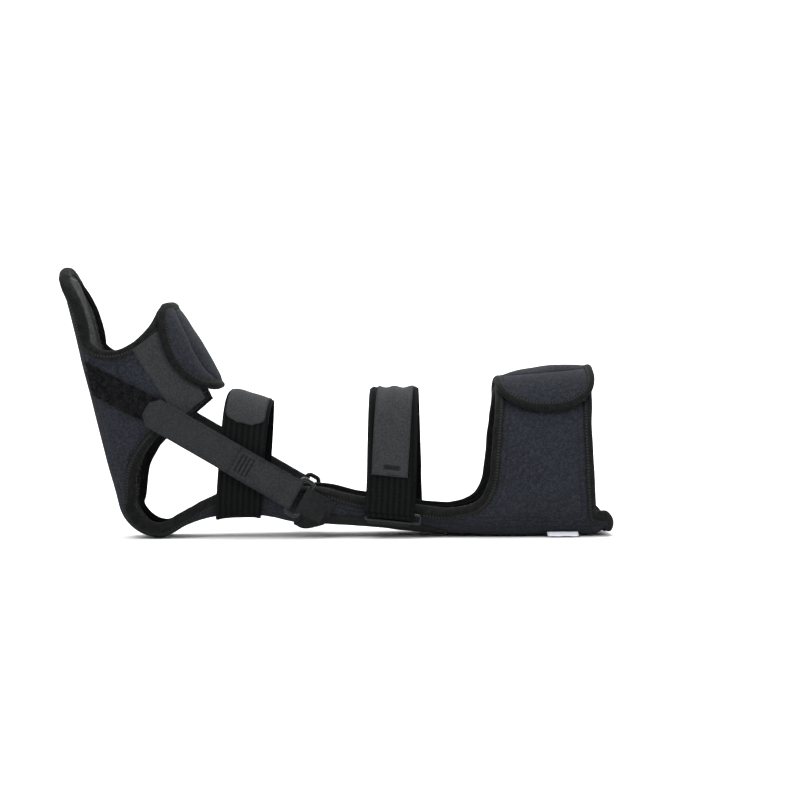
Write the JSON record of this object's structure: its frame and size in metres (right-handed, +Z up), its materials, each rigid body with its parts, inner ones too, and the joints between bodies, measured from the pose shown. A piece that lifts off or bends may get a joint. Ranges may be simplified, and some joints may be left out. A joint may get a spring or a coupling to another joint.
{
  "type": "plantar fasciitis night splint",
  "caption": "Stiff padded L-shaped foot and calf gutter with an open toe and heel, side walls, padded flaps, two elastic bands and diagonal tension straps.",
  "frame": {"origin": "middle of the bounding box on the floor that the splint lies on, sole upright and back of the leg down", "axes": "+X along the leg from the heel towards the knee, +Z up from the back of the leg to the shin, +Y across, from the side with the shin strap's ring to the other side"},
  "size_m": [0.4538, 0.1134, 0.2256],
  "materials": {
    "shell_fabric": "matt padded fabric, dark charcoal with a blue cast",
    "edge_tape": "ribbed edge tape, near black",
    "webbing": "woven webbing, near black",
    "hook_fabric": "fine hook tape, dark grey",
    "loop_pile": "brushed loop pile, black",
    "grey_strap": "finely ribbed strap, dark grey",
    "elastic": "ribbed elastic, black",
    "ring_plastic": "moulded plastic, black, half gloss",
    "label": "thin satin, white"
  },
  "bodies": {
    "root": {"padded_gutter": "shell_fabric", "toe_binding": "edge_tape", "calf_end_binding": "edge_tape", "gutter_binding_near": "edge_tape", "gutter_binding_far": "edge_tape", "foot_wing_near": "shell_fabric", "foot_opening_binding_near": "edge_tape", "heel_opening_binding_near": "edge_tape", "calf_wing_near": "shell_fabric", "calf_front_binding_near": "edge_tape", "calf_back_binding_near": "edge_tape", "foot_wing_far": "shell_fabric", "foot_opening_binding_far": "edge_tape", "heel_opening_binding_far": "edge_tape", "calf_wing_far": "shell_fabric", "calf_front_binding_far": "edge_tape", "calf_back_binding_far": "edge_tape", "instep_flap": "shell_fabric", "instep_flap_binding": "edge_tape", "calf_flap": "shell_fabric", "calf_flap_binding": "edge_tape", "ankle_strap": "elastic", "ankle_tab": "grey_strap", "shin_tab": "grey_strap", "loop_strip_near": "loop_pile", "hook_patch_near": "hook_fabric", "tension_ring_near": "ring_plastic", "tension_strap_near": "grey_strap", "ring_anchor_near": "webbing", "loop_strip_far": "loop_pile", "hook_patch_far": "hook_fabric", "tension_ring_far": "ring_plastic", "tension_strap_far": "grey_strap", "ring_anchor_far": "webbing", "shin_ring": "ring_plastic", "shin_strap": "elastic", "shin_anchor": "webbing", "care_label": "label"}
  },
  "joints": []
}
